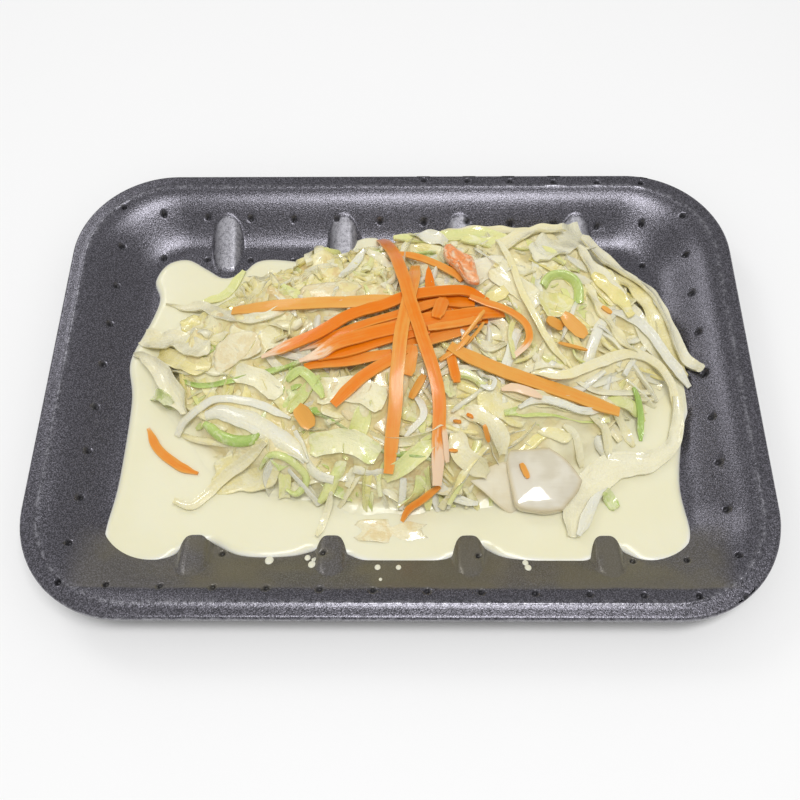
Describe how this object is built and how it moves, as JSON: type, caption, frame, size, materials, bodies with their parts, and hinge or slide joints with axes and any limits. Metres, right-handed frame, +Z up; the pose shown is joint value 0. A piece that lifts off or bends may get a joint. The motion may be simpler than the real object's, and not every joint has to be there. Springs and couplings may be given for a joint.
{
  "type": "coleslaw in a foam tray",
  "caption": "Low heap of shredded cabbage coleslaw in its creamy dressing, topped with crossed carrot strips, served in a shallow dark grey foam tray with sloping walls.",
  "frame": {"origin": "middle of the tray's underside, on the surface it stands on", "axes": "+X along the tray's long side, +Y along its short side towards the back, +Z up"},
  "size_m": [0.218, 0.154, 0.0324],
  "materials": {
    "foam": "dark grey polystyrene foam with a faint silvery grain",
    "dressing": "smooth, wet, pale cream dressing",
    "cabbage": "wet shredded cabbage, cream to pale green",
    "cabbage_core": "wet, translucent greyish white",
    "carrot": "moist orange carrot, partly coated with dressing",
    "carrot_chunk": "moist, rough orange carrot",
    "carrot_sliver": "moist orange carrot"
  },
  "bodies": {
    "root": {"tray": "foam", "dressing": "dressing", "slaw": "cabbage", "core_slice": "cabbage_core", "carrot_garnish": "carrot", "carrot_chunk": "carrot_chunk", "carrot_sliver": "carrot_sliver"}
  },
  "joints": []
}
